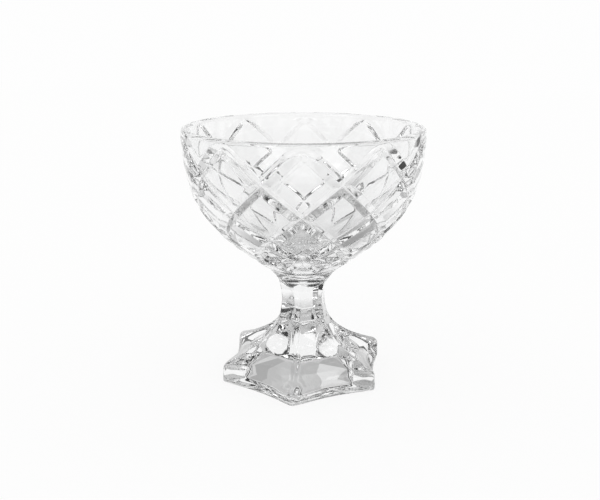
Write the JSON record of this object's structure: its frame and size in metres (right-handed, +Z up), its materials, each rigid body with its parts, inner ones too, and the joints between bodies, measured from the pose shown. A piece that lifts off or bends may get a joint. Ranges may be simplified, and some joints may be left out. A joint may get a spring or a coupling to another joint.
{
  "type": "stemmed glass",
  "caption": "Footed dessert glass in clear pressed glass: a diamond-cut round bowl on a collar, a short six-sided stem and a hollow toed foot.",
  "frame": {"origin": "bottom centre of the foot, on the table", "axes": "+Z up along the axis of the glass, -Y through one toe of the foot"},
  "size_m": [0.1, 0.1, 0.108],
  "materials": {
    "bowl_glass": "clear fire-polished pressed glass with crisp diamond grooves",
    "collar_glass": "clear fire-polished glass, slightly wavy where it was joined hot",
    "stem_glass": "clear pressed glass with flat sides and soft corners",
    "foot_glass": "clear pressed glass with soft ridges and a flat standing rim"
  },
  "bodies": {
    "root": {"bowl": "bowl_glass", "collar": "collar_glass", "stem": "stem_glass", "foot": "foot_glass"}
  },
  "joints": []
}
